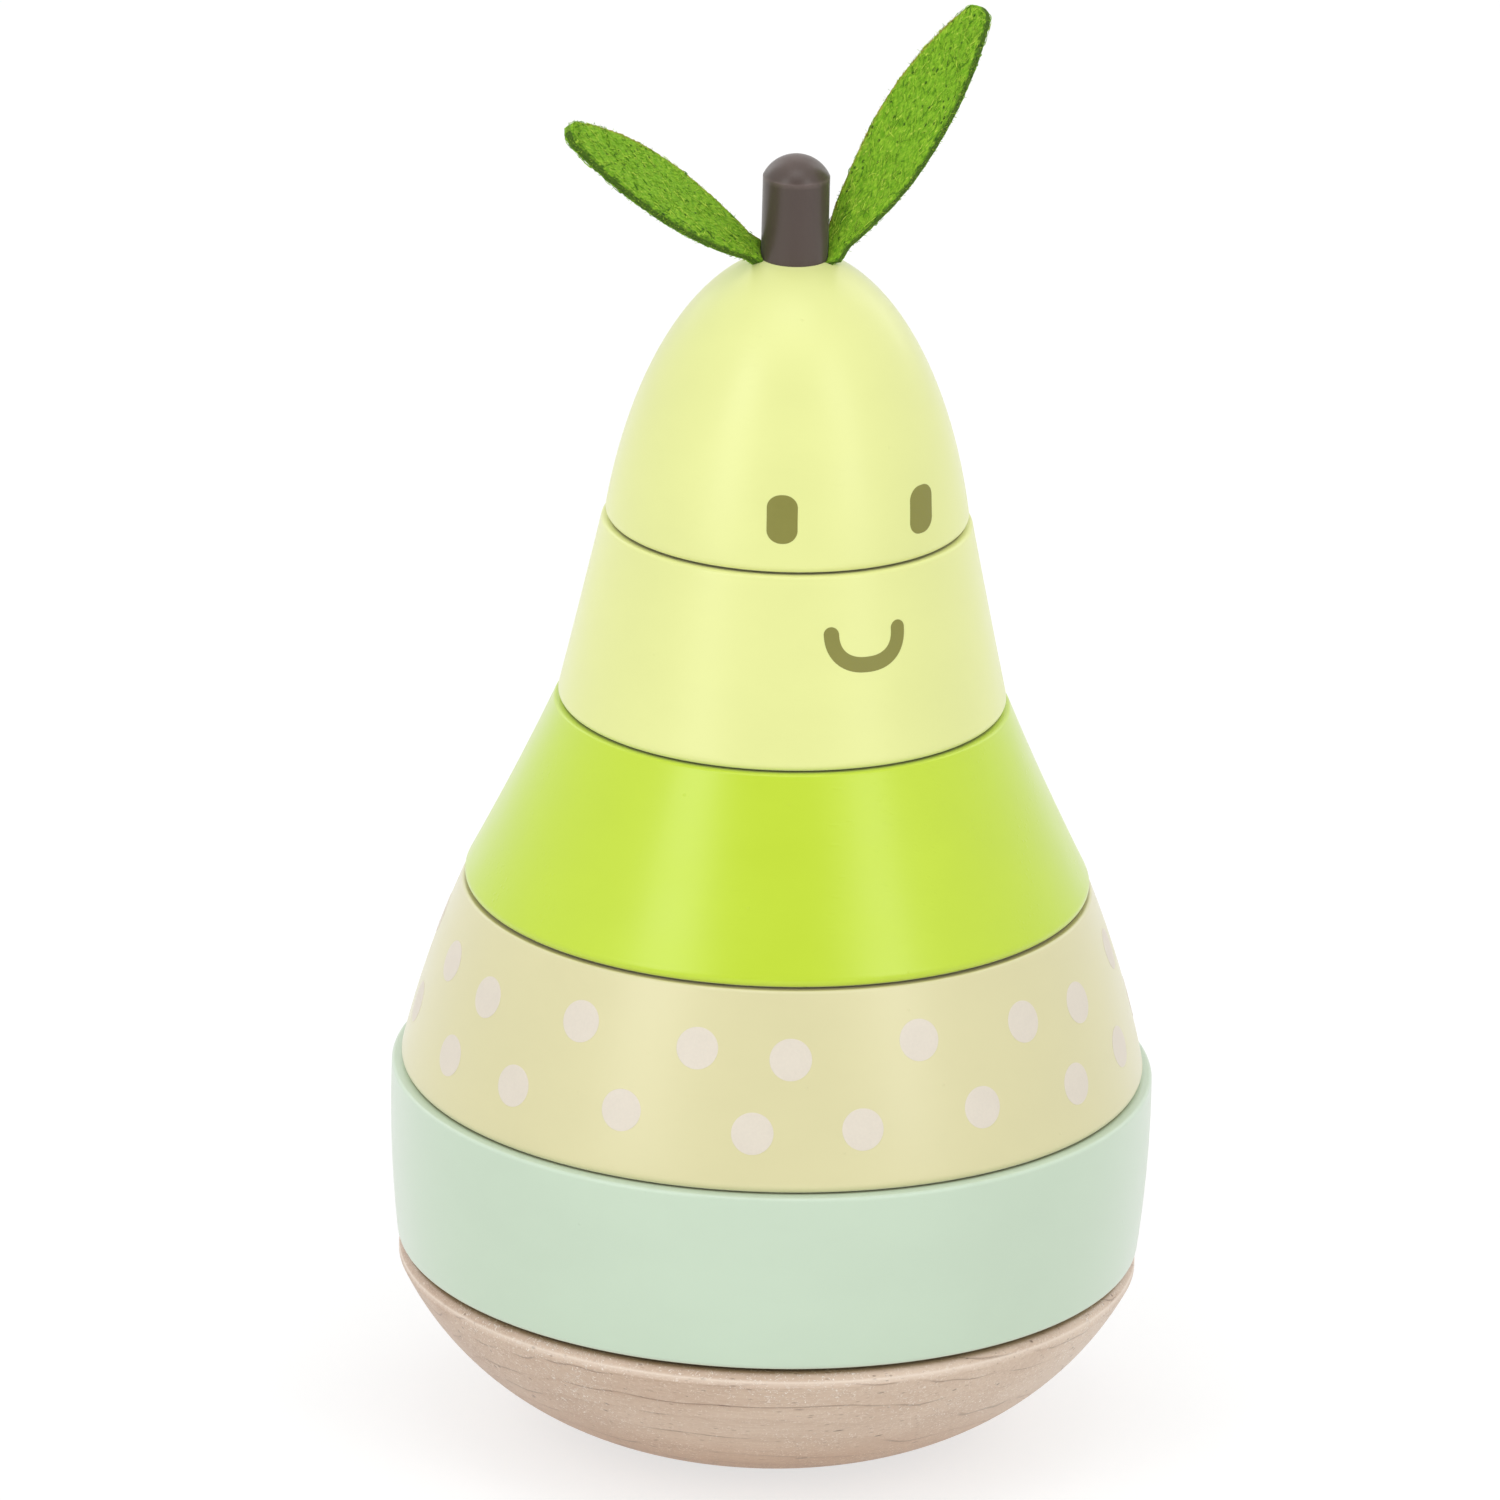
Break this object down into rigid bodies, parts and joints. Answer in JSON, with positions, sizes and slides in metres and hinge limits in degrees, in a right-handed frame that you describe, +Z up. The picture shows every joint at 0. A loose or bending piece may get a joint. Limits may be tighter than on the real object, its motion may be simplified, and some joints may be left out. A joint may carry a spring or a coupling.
{
  "type": "stacking toy",
  "caption": "Pear-shaped wooden stacking toy: painted rings and a domed cap with a stem and felt leaves, threaded on a post in a rounded wobble base.",
  "frame": {"origin": "middle of the small flat that the rounded base stands on", "axes": "+Z up along the post, -Y towards the viewer, +X to the right as the viewer sees it; the printed face is turned from -Y towards +X"},
  "size_m": [0.1, 0.1, 0.1946],
  "materials": {
    "bare_wood": "bare pale hardwood, sanded and lightly waxed",
    "mint_paint": "satin paint on wood, pale mint",
    "cream_paint": "satin paint on wood, pale cream with printed off-white dots",
    "lime_paint": "satin paint on wood, bright lime",
    "pear_paint": "satin paint on wood, pale yellow-green with a printed face",
    "brown_paint": "satin paint on wood, dark brown",
    "green_felt": "pressed wool felt, leaf green"
  },
  "bodies": {
    "base": {"base": "bare_wood", "post": "bare_wood"},
    "mint_ring": {"mint_ring": "mint_paint"},
    "cream_ring": {"cream_ring": "cream_paint"},
    "lime_ring": {"lime_ring": "lime_paint"},
    "neck_ring": {"neck_ring": "pear_paint"},
    "cap": {"cap": "pear_paint", "stem": "brown_paint", "left_leaf": "green_felt", "right_leaf": "green_felt"}
  },
  "joints": [
    {"name": "mint_lift", "type": "slide", "parent": "base", "child": "mint_ring", "axis": [0, 0, 1], "range_m": [0, 0.119]},
    {"name": "cream_lift", "type": "slide", "parent": "mint_ring", "child": "cream_ring", "axis": [0, 0, 1], "range_m": [0, 0.094]},
    {"name": "lime_lift", "type": "slide", "parent": "cream_ring", "child": "lime_ring", "axis": [0, 0, 1], "range_m": [0, 0.069]},
    {"name": "neck_lift", "type": "slide", "parent": "lime_ring", "child": "neck_ring", "axis": [0, 0, 1], "range_m": [0, 0.044]},
    {"name": "cap_lift", "type": "slide", "parent": "neck_ring", "child": "cap", "axis": [0, 0, 1], "range_m": [0, 0.018]}
  ]
}
